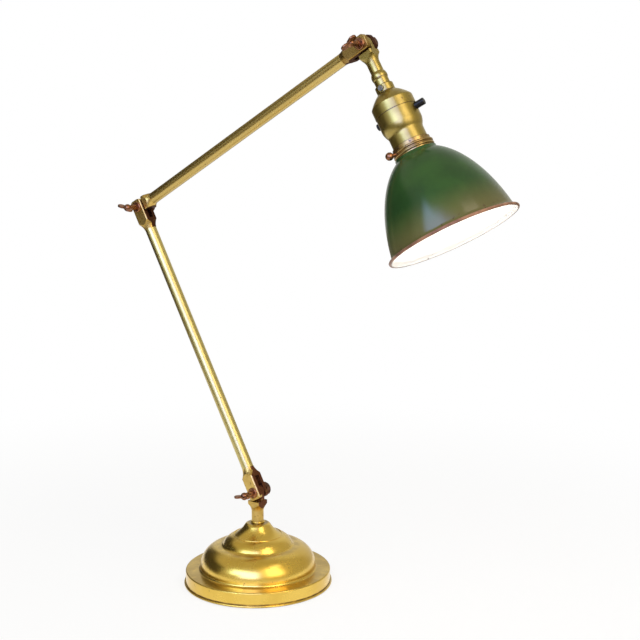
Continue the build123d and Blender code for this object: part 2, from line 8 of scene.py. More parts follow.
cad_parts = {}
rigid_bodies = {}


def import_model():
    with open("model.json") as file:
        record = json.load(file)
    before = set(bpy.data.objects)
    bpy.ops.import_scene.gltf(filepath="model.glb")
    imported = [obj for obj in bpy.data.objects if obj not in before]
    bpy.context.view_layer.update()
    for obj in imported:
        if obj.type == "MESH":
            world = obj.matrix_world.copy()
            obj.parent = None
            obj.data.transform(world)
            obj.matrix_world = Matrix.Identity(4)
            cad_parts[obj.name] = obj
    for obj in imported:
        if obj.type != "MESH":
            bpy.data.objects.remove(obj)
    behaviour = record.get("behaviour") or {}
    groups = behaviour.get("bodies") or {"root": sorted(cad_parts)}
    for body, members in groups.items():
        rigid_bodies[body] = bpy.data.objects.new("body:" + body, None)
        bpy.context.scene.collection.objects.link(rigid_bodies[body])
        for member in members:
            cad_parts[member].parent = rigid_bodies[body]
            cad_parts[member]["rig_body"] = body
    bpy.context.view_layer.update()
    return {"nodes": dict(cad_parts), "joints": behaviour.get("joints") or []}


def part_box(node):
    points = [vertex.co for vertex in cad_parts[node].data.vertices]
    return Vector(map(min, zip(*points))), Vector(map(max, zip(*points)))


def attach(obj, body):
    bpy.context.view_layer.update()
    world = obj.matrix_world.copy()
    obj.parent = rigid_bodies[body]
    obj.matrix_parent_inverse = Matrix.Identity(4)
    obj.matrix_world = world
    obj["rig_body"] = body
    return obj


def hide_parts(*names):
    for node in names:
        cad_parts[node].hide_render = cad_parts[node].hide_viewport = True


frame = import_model()
scene = bpy.context.scene
nodes = frame["nodes"]
print("frame:", len(nodes), "nodes")

# pivots and axes of the moving bodies, taken from the frame
pivots = {joint["name"]: Vector(joint["pos_m"]) for joint in frame["joints"] if "pos_m" in joint}


# a place whose Z runs along the piece and whose X, where it can, runs along the hinge pins
def along(start, direction):
    steepest = 0.9
    axis = direction.normalized()
    pin = Vector((0, 1, 0)) if abs(axis.y) < steepest else Vector((0, 0, 1))
    side = axis.cross(pin).normalized()
    return Matrix.Translation(start) @ Matrix((side.cross(axis), side, axis)).transposed().to_4x4()


def middleOf(node):
    low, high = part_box(node)
    return (low + high) / 2


headAxis = (pivots["clamp_screw_turn"] - pivots["head_tilt"]).normalized()
places = {
    "base": along(Vector(), Vector((0, 0, 1))),
    "lower_arm": along(pivots["base_tilt"], pivots["elbow_tilt"] - pivots["base_tilt"]),
    "upper_arm": along(pivots["elbow_tilt"], pivots["head_tilt"] - pivots["elbow_tilt"]),
    "head": along(pivots["head_tilt"], headAxis),
}
for joint in frame["joints"]:
    if joint["child"] not in places:
        start = pivots.get(joint["name"], middleOf("switch_bar"))
        places[joint["child"]] = along(start, Vector(joint["axis"]))


# small helpers for the node trees
def feed(tree, socket, value):
    if isinstance(value, bpy.types.NodeSocket):
        tree.links.new(value, socket)
    elif socket.type == "RGBA" and len(value) == 3:
        socket.default_value = (*value, 1.0)
    else:
        socket.default_value = value


def addNode(tree, kind, inputs=None, **settings):
    node = tree.nodes.new("ShaderNode" + kind)
    for name, value in settings.items():
        setattr(node, name, value)
    for key, value in (inputs or {}).items():
        feed(tree, node.inputs[key], value)
    return node


def maths(tree, operation, first, second=0.0):
    return addNode(tree, "Math", {0: first, 1: second}, operation=operation).outputs[0]


def vectorMaths(tree, operation, first, second=(0, 0, 0)):
    return addNode(tree, "VectorMath", {0: first, 1: second}, operation=operation)


def fade(tree, value, low, high):
    inputs = {"Value": value, "From Min": low, "From Max": high}
    return addNode(tree, "MapRange", inputs, interpolation_type="SMOOTHSTEP").outputs["Result"]


def noise(tree, at, scale, detail=2.0, roughness=0.55):
    inputs = {"Vector": at, "Scale": scale, "Detail": detail, "Roughness": roughness}
    return addNode(tree, "TexNoise", inputs).outputs["Fac"]


def mixTint(tree, factor, first, second):
    mix = addNode(tree, "Mix", {0: factor, 6: first, 7: second}, data_type="RGBA")
    return mix.outputs[2]


def newFinish(name):
    finish = bpy.data.materials.new(name)
    finish.use_nodes = True
    tree = finish.node_tree
    tree.nodes.clear()
    shader = addNode(tree, "BsdfPrincipled")
    addNode(tree, "OutputMaterial", {"Surface": shader.outputs["BSDF"]})
    return finish, tree, shader


# object coordinates seen from the piece's own place: origin on its pivot, Z along its axis
def pieceCoords(tree, place):
    at = addNode(tree, "TexCoord").outputs["Object"]
    inputs = {"Vector": at, "Location": place.translation, "Rotation": place.to_euler()}
    return addNode(tree, "Mapping", inputs, vector_type="TEXTURE").outputs["Vector"]


def axisDistance(tree, at):
    return addNode(tree, "SeparateXYZ", {0: at}).outputs["Z"]


def turnedCoords(tree, at):
    flat = vectorMaths(tree, "MULTIPLY", at, (1, 1, 0)).outputs[0]
    radius = vectorMaths(tree, "LENGTH", flat).outputs["Value"]
    return addNode(tree, "CombineXYZ", {"X": radius, "Z": axisDistance(tree, at)}).outputs[0]


# how marks, age, dirt, tarnish, painted shade and lacquer lie on every metal; a band is where a cloud of
# noise starts and is full
metalWear = {
    "markStretch": {"drawn": (1, 1, 0.02), "filed": (0.08, 1, 1), "cast": (1, 1, 1)}, "markDetail": 3.0,
    "patchBand": (0.36, 0.66), "patchShare": 0.7, "markShare": 0.3, "patchDetail": 4.0,
    "drawnDetail": 1.0, "drawnStretch": (1, 1, 0.15), "speckEdge": 0.08, "speckDetail": 2.0,
    "dirtAndShadeScale": 90, "dirtAndShadeBand": (0.2, 0.6), "tarnishAndShadeScale": 160, "tarnishAndShadeBand": (0.1, 0.4),
    "tarnishAndShadeDetail": 3.0, "stainRough": 0.2, "stainDepth": 0.6, "coatRough": 0.2, "coatIor": 1.8,
}


# how the tool marks run: round the axis, along it, across it, or no way at all
def markCoords(tree, at, marks):
    if marks == "turned":
        return turnedCoords(tree, at)
    return vectorMaths(tree, "MULTIPLY", at, metalWear["markStretch"][marks]).outputs[0]


# dirt and painted shade in the grooves and creases, at distances along the piece's axis
def creaseDirtAndShadeMask(tree, at, dirtAndShadeGrooves):
    mask = 0.0
    distance = axisDistance(tree, at)
    for place, spread, depth in dirtAndShadeGrooves:
        off = maths(tree, "ABSOLUTE", maths(tree, "SUBTRACT", distance, place))
        mask = maths(tree, "MAXIMUM", mask, maths(tree, "MULTIPLY", fade(tree, off, spread, 0), depth))
    broken = fade(tree, noise(tree, at, metalWear["dirtAndShadeScale"]), *metalWear["dirtAndShadeBand"])
    return maths(tree, "MULTIPLY", mask, broken)


# brown tarnish on the sides that no cloth reaches, and painted shade in slots and between parts, by the
# distance off the piece's middle planes
def tarnishAndShadeMask(tree, at, sides):
    apart = addNode(tree, "SeparateXYZ", {0: at})
    mask = 0.0
    for axis, bothSides, start, end in sides:
        sideways = apart.outputs[axis]
        if bothSides:
            sideways = maths(tree, "ABSOLUTE", sideways)
        mask = maths(tree, "MAXIMUM", mask, fade(tree, sideways, start, end))
    cloud = noise(tree, at, metalWear["tarnishAndShadeScale"], metalWear["tarnishAndShadeDetail"])
    return maths(tree, "MULTIPLY", mask, fade(tree, cloud, *metalWear["tarnishAndShadeBand"]))


# tarnish and painted shade: axis, both sides or one, and the distances where it starts and where it is
# full
sideTarnish = ("Y", True, 0.0068, 0.0075)
footStainAndShade = (0.165, 0.06, 0.025)
# grooves of dirt and painted shade: distance along the axis, half width and depth of the darkening
metalLooks = {
    "base_brass": {
        "bright": (0.90, 0.605, 0.09), "dull": (0.77, 0.49, 0.045), "stainAndShade": (0.10, 0.048, 0.015),
        "polish": 0.23, "haze": 0.33, "marks": "turned", "markScale": 420, "markDepth": 0.000006,
        "patchScale": 24, "speckScale": 210, "speckFrom": 0.68, "stainShare": 0.5, "lacquer": 0.5,
        # painted shade: darker bands on the foot bead and just above it, at the shelf, in the valley
        # crease and under the collar
        "dirtAndShadeGrooves": [(0.0004, 0.0026, 0.9), (0.0036, 0.0010, 0.9), (0.0162, 0.0010, 0.3),
                    (0.0418, 0.0012, 0.3), (0.0662, 0.0008, 0.7)]},
    "arm_brass": {
        "bright": (0.67, 0.545, 0.18), "dull": (0.58, 0.445, 0.112), "stainAndShade": (0.06, 0.034, 0.013),
        "polish": 0.37, "haze": 0.42, "marks": "drawn", "markScale": 420, "markDepth": 0.0000015,
        "patchScale": 30, "speckScale": 150, "speckFrom": 0.70, "stainShare": 0.8, "lacquer": 0.4,
        "dirtAndShadeGrooves": []},
    "upper_brass": {
        "bright": (0.67, 0.475, 0.125), "dull": (0.54, 0.365, 0.072), "stainAndShade": (0.075, 0.040, 0.014),
        "polish": 0.32, "haze": 0.40, "marks": "drawn", "markScale": 420, "markDepth": 0.0000015,
        "patchScale": 30, "speckScale": 150, "speckFrom": 0.70, "stainShare": 0.8, "lacquer": 0.4,
        "dirtAndShadeGrooves": []},
    "knuckle_brass": {
        "bright": (0.76, 0.53, 0.155), "dull": (0.57, 0.37, 0.09), "stainAndShade": (0.095, 0.033, 0.012),
        "polish": 0.30, "haze": 0.44, "marks": "filed", "markScale": 400, "markDepth": 0.000005,
        "patchScale": 70, "speckScale": 260, "speckFrom": 0.65, "stainShare": 0.6, "lacquer": 0.0,
        "dirtAndShadeGrooves": [], "tarnishAndShade": [sideTarnish]},
    "socket_brass": {
        "bright": (0.48, 0.355, 0.072), "dull": (0.36, 0.255, 0.040), "stainAndShade": (0.07, 0.036, 0.014),
        "polish": 0.33, "haze": 0.42, "marks": "turned", "markScale": 420, "markDepth": 0.000003,
        "patchScale": 45, "speckScale": 240, "speckFrom": 0.68, "stainShare": 0.6, "lacquer": 0.38,
        # painted shade: darker bands in the creases along the neck, cap, shell and clamp band
        "dirtAndShadeGrooves": [(0.0375, 0.0008, 0.7), (0.0448, 0.0010, 0.8), (0.0520, 0.0010, 0.7),
                    (0.0734, 0.0006, 0.9), (0.1066, 0.0016, 0.8)]},
    "aged_copper": {
        "bright": (0.45, 0.21, 0.095), "dull": (0.21, 0.085, 0.037), "stainAndShade": (0.04, 0.018, 0.010),
        "polish": 0.30, "haze": 0.46, "marks": "cast", "markScale": 420, "markDepth": 0.00003,
        "patchScale": 110, "speckScale": 330, "speckFrom": 0.58, "stainShare": 0.75, "lacquer": 0.0,
        "dirtAndShadeGrooves": []},
    "brown_brass": {
        "bright": (0.53, 0.36, 0.11), "dull": (0.31, 0.185, 0.05), "stainAndShade": (0.06, 0.03, 0.012),
        "polish": 0.24, "haze": 0.38, "marks": "turned", "markScale": 420, "markDepth": 0.00001,
        "patchScale": 90, "speckScale": 300, "speckFrom": 0.62, "stainShare": 0.7, "lacquer": 0.3,
        "dirtAndShadeGrooves": []},
    "steel": {
        "bright": (0.26, 0.235, 0.185), "dull": (0.14, 0.125, 0.10), "stainAndShade": (0.08, 0.06, 0.045),
        "polish": 0.25, "haze": 0.42, "marks": "filed", "markScale": 600, "markDepth": 0.00002,
        "patchScale": 120, "speckScale": 300, "speckFrom": 0.64, "stainShare": 0.6, "lacquer": 0.0,
        "dirtAndShadeGrooves": []},
    "bulb_metal": {
        "bright": (0.66, 0.65, 0.62), "dull": (0.48, 0.46, 0.42), "stainAndShade": (0.16, 0.13, 0.10),
        "polish": 0.26, "haze": 0.40, "marks": "turned", "markScale": 500, "markDepth": 0.00002,
        "patchScale": 90, "speckScale": 280, "speckFrom": 0.68, "stainShare": 0.5, "lacquer": 0.0,
        "dirtAndShadeGrooves": []},
    "iron": {
        "bright": (0.17, 0.16, 0.15), "dull": (0.10, 0.085, 0.075), "stainAndShade": (0.13, 0.05, 0.02),
        "polish": 0.50, "haze": 0.72, "marks": "cast", "markScale": 380, "markDepth": 0.00025,
        "patchScale": 40, "speckScale": 160, "speckFrom": 0.58, "stainShare": 0.8, "lacquer": 0.0,
        "dirtAndShadeGrooves": []},
}

# looks for single pieces: forks and post browned where no cloth reaches, with painted shade inside the
# fork slots, on the far ears and on the post's tongue between them; nuts darker all over
# painted shade: everything past the near ear, the slot and the far ear, is darkened
metalLooks["fork_brass"] = dict(
    metalLooks["knuckle_brass"], tarnishAndShade=[sideTarnish, ("X", False, -0.0030, -0.0026)])
metalLooks["dim_brass"] = dict(
    metalLooks["fork_brass"], bright=(0.50, 0.32, 0.085), dull=(0.33, 0.195, 0.043))
metalLooks["foot_brass"] = dict(metalLooks["fork_brass"], stainAndShade=footStainAndShade)
# painted shade: the post's tongue, between the fork's ears, is darkened
metalLooks["post_brass"] = dict(
    metalLooks["knuckle_brass"], stainAndShade=footStainAndShade, tarnishAndShade=[sideTarnish, ("Z", False, 0.0905, 0.0909)])
metalLooks["neck_brass"] = dict(metalLooks["socket_brass"], tarnishAndShade=[("Y", True, 0.0081, 0.0086)])
metalLooks["dark_copper"] = dict(
    metalLooks["aged_copper"], bright=(0.20, 0.085, 0.042), dull=(0.09, 0.036, 0.018))


def metalFinish(name, slot, place):
    look = metalLooks[slot]
    wear = metalWear
    finish, tree, shader = newFinish(name)
    at = pieceCoords(tree, place)
    marks = noise(tree, markCoords(tree, at, look["marks"]), look["markScale"], wear["markDetail"])
    spread, detail = at, wear["patchDetail"]
    if look["marks"] == "drawn":
        spread = vectorMaths(tree, "MULTIPLY", at, wear["drawnStretch"]).outputs[0]
        detail = wear["drawnDetail"]
    patches = noise(tree, spread, look["patchScale"], detail)
    patches = fade(tree, patches, *wear["patchBand"])
    age = maths(tree, "ADD", maths(tree, "MULTIPLY", patches, wear["patchShare"]),
                maths(tree, "MULTIPLY", marks, wear["markShare"]))
    specks = noise(tree, at, look["speckScale"], wear["speckDetail"])
    specks = fade(tree, specks, look["speckFrom"], look["speckFrom"] + wear["speckEdge"])
    stainsAndShade = maths(tree, "MULTIPLY", specks, look["stainShare"])
    # creases and slots carry painted shade, which darkens the tint together with the real stains and
    # tarnish
    stainsAndShade = maths(tree, "MAXIMUM", stainsAndShade, creaseDirtAndShadeMask(tree, at, look["dirtAndShadeGrooves"]))
    if "tarnishAndShade" in look:
        stainsAndShade = maths(tree, "MAXIMUM", stainsAndShade, tarnishAndShadeMask(tree, at, look["tarnishAndShade"]))
    tint = mixTint(tree, age, look["bright"], look["dull"])
    feed(tree, shader.inputs["Base Color"], mixTint(tree, stainsAndShade, tint, look["stainAndShade"]))
    worn = maths(tree, "MULTIPLY_ADD", age, look["haze"] - look["polish"])
    worn.node.inputs[2].default_value = look["polish"]
    stained = maths(tree, "MULTIPLY", stainsAndShade, wear["stainRough"])
    feed(tree, shader.inputs["Roughness"], maths(tree, "ADD", worn, stained))
    shader.inputs["Metallic"].default_value = 1.0
    shader.inputs["Coat Weight"].default_value = look["lacquer"]
    shader.inputs["Coat Roughness"].default_value = wear["coatRough"]
    shader.inputs["Coat IOR"].default_value = wear["coatIor"]
    height = maths(tree, "SUBTRACT", marks, maths(tree, "MULTIPLY", stainsAndShade, wear["stainDepth"]))
    bump = addNode(tree, "Bump", {"Height": height, "Distance": look["markDepth"]})
    feed(tree, shader.inputs["Normal"], bump.outputs["Normal"])
    return finish


# distances run along the socket's axis from the head pivot
enamelLook = {
    "green": (0.0245, 0.075, 0.0145), "deepGreen": (0.015, 0.05, 0.011), "reflectedTan": (0.16, 0.125, 0.047),
    "chip": (0.075, 0.040, 0.024), "white": (0.86, 0.85, 0.84), "ivory": (0.82, 0.80, 0.77),
    "reflectionFrom": 0.165, "reflectionTo": 0.206, "reflectionShare": 0.7, "chipFrom": 0.194, "chipTo": 0.2015,
    "cloudScale": 26, "cloudBand": (0.3, 0.7), "chipScale": 240, "chipBand": (0.60, 0.66),
    "chipRough": 0.4, "chipDepth": 0.8, "pitScale": 420, "pitBand": (0.77, 0.80), "pitShare": 0.7,
    "gloss": 0.45, "coat": 0.7, "coatGloss": 0.14, "specular": 0.1, "rippleScale": 160, "ripple": 0.00006,
    "whiteCloudScale": 30, "whiteCloudBand": (0.35, 0.75), "whitePitScale": 380,
    "whitePitBand": (0.75, 0.79), "whiteGloss": 0.24,
}


def greenEnamel(name, place):
    look = enamelLook
    finish, tree, shader = newFinish(name)
    at = pieceCoords(tree, place)
    distance = axisDistance(tree, at)
    cloud = fade(tree, noise(tree, at, look["cloudScale"], 3.0), *look["cloudBand"])
    tint = mixTint(tree, cloud, look["green"], look["deepGreen"])
    # painted reflection: towards the mouth the enamel turns tan, as if mirroring a warm table below
    tanReflection = fade(tree, distance, look["reflectionFrom"], look["reflectionTo"])
    tint = mixTint(tree, maths(tree, "MULTIPLY", tanReflection, look["reflectionShare"]), tint, look["reflectedTan"])
    nearMouth = fade(tree, distance, look["chipFrom"], look["chipTo"])
    chips = fade(tree, noise(tree, at, look["chipScale"], 3.0), *look["chipBand"])
    chips = maths(tree, "MULTIPLY", nearMouth, chips)
    pits = fade(tree, noise(tree, at, look["pitScale"], 1.0), *look["pitBand"])
    chips = maths(tree, "MAXIMUM", chips, maths(tree, "MULTIPLY", pits, look["pitShare"]))
    feed(tree, shader.inputs["Base Color"], mixTint(tree, chips, tint, look["chip"]))
    rough = maths(tree, "MULTIPLY_ADD", chips, look["chipRough"])
    rough.node.inputs[2].default_value = look["gloss"]
    feed(tree, shader.inputs["Roughness"], rough)
    shader.inputs["Specular IOR Level"].default_value = look["specular"]
    shader.inputs["Coat Weight"].default_value = look["coat"]
    shader.inputs["Coat Roughness"].default_value = look["coatGloss"]
    ripple = noise(tree, at, look["rippleScale"], 1.0)
    ripple = maths(tree, "SUBTRACT", ripple, maths(tree, "MULTIPLY", chips, look["chipDepth"]))
    bump = addNode(tree, "Bump", {"Height": ripple, "Distance": look["ripple"]})
    feed(tree, shader.inputs["Normal"], bump.outputs["Normal"])
    return finish


def whiteEnamel(name, place):
    look = enamelLook
    finish, tree, shader = newFinish(name)
    at = pieceCoords(tree, place)
    cloud = fade(tree, noise(tree, at, look["whiteCloudScale"], 3.0), *look["whiteCloudBand"])
    tint = mixTint(tree, cloud, look["white"], look["ivory"])
    pits = fade(tree, noise(tree, at, look["whitePitScale"], 1.0), *look["whitePitBand"])
    feed(tree, shader.inputs["Base Color"], mixTint(tree, pits, tint, look["chip"]))
    shader.inputs["Roughness"].default_value = look["whiteGloss"]
    ripple = noise(tree, at, look["rippleScale"], 1.0)
    bump = addNode(tree, "Bump", {"Height": ripple, "Distance": look["ripple"]})
    feed(tree, shader.inputs["Normal"], bump.outputs["Normal"])
    return finish


# the rolled rim, rubbed through the enamel to brown metal
rimLook = {"rubbed": (0.34, 0.17, 0.10), "brown": (0.13, 0.055, 0.033), "bare": (0.42, 0.26, 0.17),
           "wearScale": 75, "wearBand": (0.35, 0.65), "wearRough": 0.2, "wearDepth": 0.0001,
           "bareScale": 150, "bareBand": (0.64, 0.76), "metal": 0.8, "gloss": 0.32}


def wornRim(name, place):
    finish, tree, shader = newFinish(name)
    at = pieceCoords(tree, place)
    wear = fade(tree, noise(tree, at, rimLook["wearScale"], 4.0), *rimLook["wearBand"])
    tint = mixTint(tree, wear, rimLook["rubbed"], rimLook["brown"])
    bare = fade(tree, noise(tree, at, rimLook["bareScale"], 3.0), *rimLook["bareBand"])
    feed(tree, shader.inputs["Base Color"], mixTint(tree, bare, tint, rimLook["bare"]))
    feed(tree, shader.inputs["Metallic"], maths(tree, "MULTIPLY", bare, rimLook["metal"]))
    rough = maths(tree, "MULTIPLY_ADD", wear, rimLook["wearRough"])
    rough.node.inputs[2].default_value = rimLook["gloss"]
    feed(tree, shader.inputs["Roughness"], rough)
    bump = addNode(tree, "Bump", {"Height": wear, "Distance": rimLook["wearDepth"]})
    feed(tree, shader.inputs["Normal"], bump.outputs["Normal"])
    return finish


# plain finishes that share one recipe: two tints in a cloud, grain in the bump
plainLooks = {
    "felt": {"first": (0.035, 0.060, 0.040), "second": (0.020, 0.036, 0.025), "grain": 900,
             "depth": 0.0003, "rough": 0.95, "sheen": 0.5, "gloss": 0.1},
    "black_plastic": {"first": (0.006, 0.006, 0.006), "second": (0.013, 0.012, 0.011), "grain": 500,
                      "depth": 0.00004, "rough": 0.36, "sheen": 0.0, "gloss": 0.35},
    "socket_block": {"first": (0.62, 0.59, 0.52), "second": (0.50, 0.46, 0.38), "grain": 300,
                     "depth": 0.00005, "rough": 0.30, "sheen": 0.0, "gloss": 0.5},
    "card_liner": {"first": (0.20, 0.135, 0.075), "second": (0.14, 0.09, 0.05), "grain": 650,
                   "depth": 0.0001, "rough": 0.85, "sheen": 0.1, "gloss": 0.2},
}
plainWear = {"cloudScale": 60, "cloudBand": (0.3, 0.7), "roughSpan": 0.1}


def plainFinish(name, slot, place):
    look = plainLooks[slot]
    finish, tree, shader = newFinish(name)
    at = pieceCoords(tree, place)
    cloud = fade(tree, noise(tree, at, plainWear["cloudScale"], 4.0), *plainWear["cloudBand"])
    grain = noise(tree, at, look["grain"], 3.0)
    mixed = maths(tree, "MULTIPLY", maths(tree, "ADD", cloud, grain), 0.5)
    feed(tree, shader.inputs["Base Color"], mixTint(tree, mixed, look["first"], look["second"]))
    rough = maths(tree, "MULTIPLY_ADD", grain, plainWear["roughSpan"])
    rough.node.inputs[2].default_value = look["rough"] - plainWear["roughSpan"] / 2
    feed(tree, shader.inputs["Roughness"], rough)
    shader.inputs["Sheen Weight"].default_value = look["sheen"]
    shader.inputs["Specular IOR Level"].default_value = look["gloss"]
    bump = addNode(tree, "Bump", {"Height": grain, "Distance": look["depth"]})
    feed(tree, shader.inputs["Normal"], bump.outputs["Normal"])
    return finish


# the lit bulb glows most round its crown and least at its neck
bulbLook = {"neck": 0.116, "crown": 0.150, "glass": (0.90, 0.88, 0.84), "warm": (1.0, 0.78, 0.50),
            "glow": (1.0, 0.96, 0.91), "strength": 8.0, "rough": 0.4, "roughSpan": 0.15,
            "cloudScale": 220, "cloudBand": (0.3, 0.7)}


def litGlass(name, place):
    finish, tree, shader = newFinish(name)
    at = pieceCoords(tree, place)
    cloud = fade(tree, noise(tree, at, bulbLook["cloudScale"], 3.0), *bulbLook["cloudBand"])
    rise = fade(tree, axisDistance(tree, at), bulbLook["neck"], bulbLook["crown"])
    shader.inputs["Base Color"].default_value = (*bulbLook["glass"], 1.0)
    glow = mixTint(tree, rise, bulbLook["warm"], bulbLook["glow"])
    feed(tree, shader.inputs["Emission Color"], glow)
    shader.inputs["Emission Strength"].default_value = bulbLook["strength"]
    rough = maths(tree, "MULTIPLY_ADD", cloud, bulbLook["roughSpan"])
    rough.node.inputs[2].default_value = bulbLook["rough"]
    feed(tree, shader.inputs["Roughness"], rough)
    return finish


finishes = {}


def finishFor(slot, body):
    if (slot, body) not in finishes:
        name = slot + "_" + body
        if slot in metalLooks:
            finishes[slot, body] = metalFinish(name, slot, places[body])
        elif slot in plainLooks:
            finishes[slot, body] = plainFinish(name, slot, places[body])
        elif slot == "frosted_glass":
            finishes[slot, body] = litGlass(name, places[body])
        else:
            finishes[slot, body] = greenEnamel(name, places[body])
    return finishes[slot, body]


# pieces whose finish isn't their slot's
ownFinish = {"shade_clamp": "brown_brass", "upper_arm_tube": "upper_brass", "head_neck": "neck_brass",
             "post": "post_brass"}
ownFinish.update({node: "fork_brass" for node in nodes if node.endswith("_fork")})
ownFinish.update({"upper_arm_fork": "dim_brass", "lower_arm_foot_fork": "foot_brass"})
ownFinish.update({node: "dark_copper" for node in nodes if node.endswith("_cap_nut")})


def dressNodes():
    for name, node in nodes.items():
        for holder in node.material_slots:
            holder.material = finishFor(ownFinish.get(name, holder.material.name), node["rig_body"])


dressNodes()
print("finishes:", len(finishes))


# a finished bmesh becomes a piece at the origin, with its place in its mesh
def makePiece(name, bm, materials, body, node):
    mesh = bpy.data.meshes.new(name)
    bm.to_mesh(mesh)
    bm.free()
    mesh.shade_smooth()
    for material in materials:
        mesh.materials.append(material)
    piece = bpy.data.objects.new(name, mesh)
    scene.collection.objects.link(piece)
    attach(piece, body)
    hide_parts(node)
    return piece


def addOutline(bm, points, closed=True):
    corners = [bm.verts.new((radius, 0, distance)) for radius, distance in points]
    for first, second in zip(corners, corners[1:] + corners[:1] * closed):
        bm.edges.new((first, second))


def spinOutline(bm, steps, mergeWithin=1e-6):
    bmesh.ops.spin(bm, geom=bm.verts[:] + bm.edges[:], cent=(0, 0, 0), axis=(0, 0, 1),
                   angle=math.tau, steps=steps, use_merge=True)
    bmesh.ops.remove_doubles(bm, verts=bm.verts[:], dist=mergeWithin)
    bmesh.ops.recalc_face_normals(bm, faces=bm.faces[:])


# distances run along the socket's axis from the head pivot; faces past the slopes below turn white
shadeSizes = {"top": 0.1171, "mouth": 0.2005, "mouthRadius": 0.06165, "curveRadius": 0.0639,
              "curveCentre": 0.2318, "neckRadius": 0.02065, "holeRadius": 0.01835, "wall": 0.0009,
              "lipWidth": 0.0028, "lipLength": 0.0021, "beadRadius": 0.0014, "lipFrom": 0.0002,
              "whiteSlope": -0.25, "lipWhiteSlope": -0.56, "topSlope": -0.9,
              "curveSteps": 44, "beadSteps": 20, "turnSteps": 192}


def bowlCurve(inset, top):
    size = shadeSizes
    wide = size["curveRadius"] - inset
    reach = size["curveCentre"] - size["mouth"]
    deep = reach / math.sqrt(1 - (size["mouthRadius"] / size["curveRadius"]) ** 2) - inset
    neck = size["neckRadius"] - inset
    first = math.acos(neck / wide)
    last = math.asin(reach / deep)
    points = [(neck, top)]
    for step in range(size["curveSteps"] + 1):
        turn = first + (last - first) * step / size["curveSteps"]
        points.append((wide * math.cos(turn), size["curveCentre"] - deep * math.sin(turn)))
    return points


def shadeOutline():
    size = shadeSizes
    bead = (size["mouthRadius"] + size["lipWidth"], size["mouth"] + size["lipLength"])
    lean = math.atan2(size["lipLength"], size["lipWidth"])
    half = math.asin(size["wall"] / 2 / size["beadRadius"])
    points = [(size["holeRadius"], size["top"])]
    points += bowlCurve(0, size["top"])
    for step in range(size["beadSteps"] + 1):
        turn = lean - math.pi + half + (math.tau - 2 * half) * step / size["beadSteps"]
        points.append((bead[0] + size["beadRadius"] * math.cos(turn),
                       bead[1] + size["beadRadius"] * math.sin(turn)))
    points += reversed(bowlCurve(size["wall"], size["top"] + size["wall"]))
    points.append((size["holeRadius"], size["top"] + size["wall"]))
    return points


def makeShade():
    size = shadeSizes
    bm = bmesh.new()
    addOutline(bm, shadeOutline())
    spinOutline(bm, size["turnSteps"])
    for face in bm.faces:
        middle = face.calc_center_median()
        outward = face.normal.dot(Vector((middle.x, middle.y, 0)).normalized())
        onLip = middle.z > size["mouth"] + size["lipFrom"]
        limit = size["lipWhiteSlope" if onLip else "whiteSlope"]
        if outward < limit and face.normal.z > size["topSlope"]:
            face.material_index = 1
        elif onLip:
            face.material_index = 2
    bmesh.ops.transform(bm, matrix=places["head"], verts=bm.verts[:])
    coats = [greenEnamel("shade_green", places["head"]), whiteEnamel("shade_white", places["head"]),
             wornRim("shade_rim", places["head"])]
    return makePiece("enamel_shade", bm, coats, "head", "shade")


makeShade()
print("shade made")


# felt disc under the base, its cut edge slightly rounded and uneven
padSizes = {"edgeRound": 0.0006, "edgeSteps": 3, "segments": 160, "waver": 0.00025, "waverCount": 23,
            "waverDrift": 2, "driftCount": 3, "flatFrom": 0.9}


def makePad():
    low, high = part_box("base_pad")
    radius = high.x - padSizes["waver"]
    bm = bmesh.new()
    bmesh.ops.create_circle(bm, cap_ends=True, radius=radius, segments=padSizes["segments"])
    bmesh.ops.translate(bm, vec=(0, 0, low.z), verts=bm.verts[:])
    raised = bmesh.ops.extrude_face_region(bm, geom=bm.faces[:])["geom"]
    lifted = [item for item in raised if isinstance(item, bmesh.types.BMVert)]
    bmesh.ops.translate(bm, vec=(0, 0, high.z - low.z), verts=lifted)
    bmesh.ops.recalc_face_normals(bm, faces=bm.faces[:])
    flat = [face for face in bm.faces if abs(face.normal.z) > padSizes["flatFrom"]]
    edges = list({edge for face in flat for edge in face.edges})
    bmesh.ops.bevel(bm, geom=edges, offset=padSizes["edgeRound"], affect="EDGES",
                    segments=padSizes["edgeSteps"], profile=0.5, material=-1)
    for vert in bm.verts:
        turn = math.atan2(vert.co.y, vert.co.x)
        drift = padSizes["waverDrift"] * math.sin(padSizes["driftCount"] * turn)
        push = padSizes["waver"] * math.sin(padSizes["waverCount"] * turn + drift)
        vert.co += Vector((vert.co.x, vert.co.y, 0)).normalized() * push
    pad = makePiece("felt_pad", bm, [finishFor("felt", "base")], "base", "base_pad")
    return pad


makePad()
print("pad made")


# camera fitted to the photograph: azimuth and pitch in degrees, lengths in metres
view = {"azimuth": 38.42, "distance": 1.31256, "height": 0.49978, "pitch": 9.33, "swing": -2.9,
        "focalPixels": 1278.95, "imagePixels": 640, "sensor": 36.0}


def addCamera():
    camera = bpy.data.cameras.new("camera")
    camera.sensor_width = view["sensor"]
    camera.lens = camera.sensor_width * view["focalPixels"] / view["imagePixels"]
    eye = bpy.data.objects.new("camera", camera)
    scene.collection.objects.link(eye)
    azimuth = math.radians(view["azimuth"])
    yaw = math.radians(view["azimuth"] + view["swing"])
    pitch = math.radians(view["pitch"])
    back = Vector((math.sin(yaw) * math.cos(pitch), -math.cos(yaw) * math.cos(pitch), math.sin(pitch)))
    right = Vector((math.cos(yaw), math.sin(yaw), 0))
    turn = Matrix((right, back.cross(right), back)).transposed()
    spot = Vector((math.sin(azimuth), -math.cos(azimuth), 0)) * view["distance"]
    eye.matrix_world = Matrix.Translation(spot + Vector((0, 0, view["height"]))) @ turn.to_4x4()
    scene.camera = eye


addCamera()

